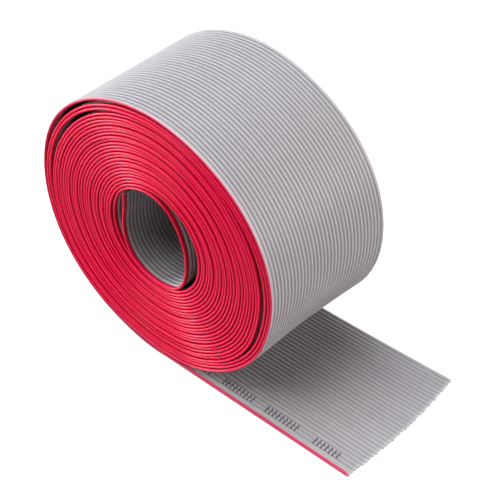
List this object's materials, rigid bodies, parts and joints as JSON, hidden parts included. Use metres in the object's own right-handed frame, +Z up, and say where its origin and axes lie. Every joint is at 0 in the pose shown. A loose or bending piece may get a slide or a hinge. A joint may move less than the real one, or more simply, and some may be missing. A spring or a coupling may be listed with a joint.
{
  "type": "ribbon cable",
  "caption": "Flat grey multi-wire ribbon cable wound into a roll, with a red marking wire along one edge and a short free end lying flat.",
  "frame": {"origin": "on the floor, at the flat spot under the roll's axis, in the middle of the cable's width", "axes": "+Z up; +Y along the roll's axis, away from the red edge; +X along the free end"},
  "size_m": [0.1066, 0.0467, 0.0757],
  "materials": {
    "grey_insulation": "satin",
    "red_edge_wire": "satin"
  },
  "bodies": {
    "root": {"grey_insulation": "grey_insulation", "grey_free_end": "grey_insulation", "red_edge_wire": "red_edge_wire"}
  },
  "joints": []
}
